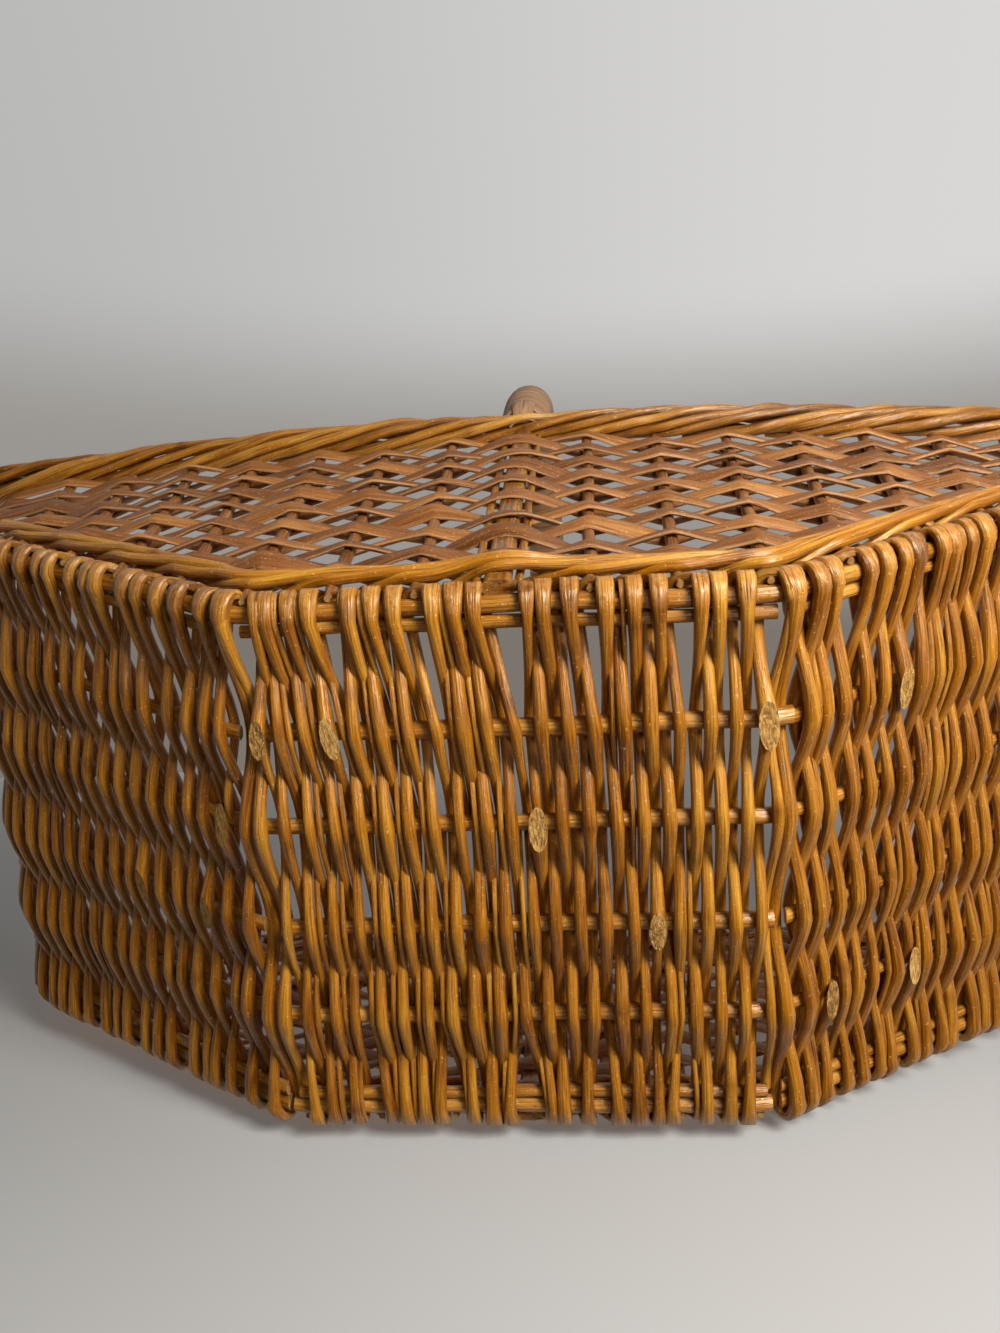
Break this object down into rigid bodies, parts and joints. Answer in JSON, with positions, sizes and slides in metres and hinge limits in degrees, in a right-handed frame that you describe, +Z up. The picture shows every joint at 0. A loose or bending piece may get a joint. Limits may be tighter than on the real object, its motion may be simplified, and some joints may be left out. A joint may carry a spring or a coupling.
{
  "type": "woven garden basket",
  "caption": "Oblong woven willow garden basket with a flat bottom, sloping ends, openwork long walls, a rope-like rim and a wrapped bow handle across the middle.",
  "frame": {"origin": "middle of the bottom, on the surface that the basket stands on", "axes": "+X along the basket's length, -Y towards its front long wall, +Z up towards the handle"},
  "size_m": [0.6114, 0.3454, 0.4019],
  "materials": {
    "willow_rod": "round willow rods, stained honey brown and varnished to a half gloss",
    "willow_stick": "stout willow sticks with pale cut ends, varnished",
    "split_willow": "flat split willow, pinkish brown, nearly matt",
    "cane": "flat wrapping cane, pale greyish tan, matt"
  },
  "bodies": {
    "root": {"back_stake_left_1": "willow_stick", "back_stake_left_2": "willow_stick", "back_stake_left_3": "willow_stick", "back_stake_left_4": "willow_stick", "back_stake_left_5": "willow_stick", "back_stake_left_6": "willow_stick", "back_stake_left_7": "willow_stick", "back_stake_right_1": "willow_stick", "back_stake_right_2": "willow_stick", "back_stake_right_3": "willow_stick", "back_stake_right_4": "willow_stick", "back_stake_right_5": "willow_stick", "back_stake_right_6": "willow_stick", "back_stake_right_7": "willow_stick", "back_wale": "willow_rod", "back_wall_weave": "split_willow", "base_edge_back": "willow_stick", "base_edge_front": "willow_stick", "base_stick_1": "willow_stick", "base_stick_2": "willow_stick", "base_stick_3": "willow_stick", "base_stick_4": "willow_stick", "base_weave": "willow_rod", "front_stake_left_1": "willow_stick", "front_stake_left_2": "willow_stick", "front_stake_left_3": "willow_stick", "front_stake_left_4": "willow_stick", "front_stake_left_5": "willow_stick", "front_stake_left_6": "willow_stick", "front_stake_left_7": "willow_stick", "front_stake_right_1": "willow_stick", "front_stake_right_2": "willow_stick", "front_stake_right_3": "willow_stick", "front_stake_right_4": "willow_stick", "front_stake_right_5": "willow_stick", "front_stake_right_6": "willow_stick", "front_stake_right_7": "willow_stick", "front_wale": "willow_rod", "front_wall_weave": "split_willow", "handle_bow": "willow_stick", "handle_wrap": "cane", "left_end_edge_back": "willow_stick", "left_end_edge_front": "willow_stick", "left_end_stick_1": "willow_stick", "left_end_stick_2": "willow_stick", "left_end_stick_3": "willow_stick", "left_end_stick_4": "willow_stick", "left_end_weave": "willow_rod", "right_end_edge_back": "willow_stick", "right_end_edge_front": "willow_stick", "right_end_stick_1": "willow_stick", "right_end_stick_2": "willow_stick", "right_end_stick_3": "willow_stick", "right_end_stick_4": "willow_stick", "right_end_weave": "willow_rod", "rim_border": "willow_rod"}
  },
  "joints": []
}
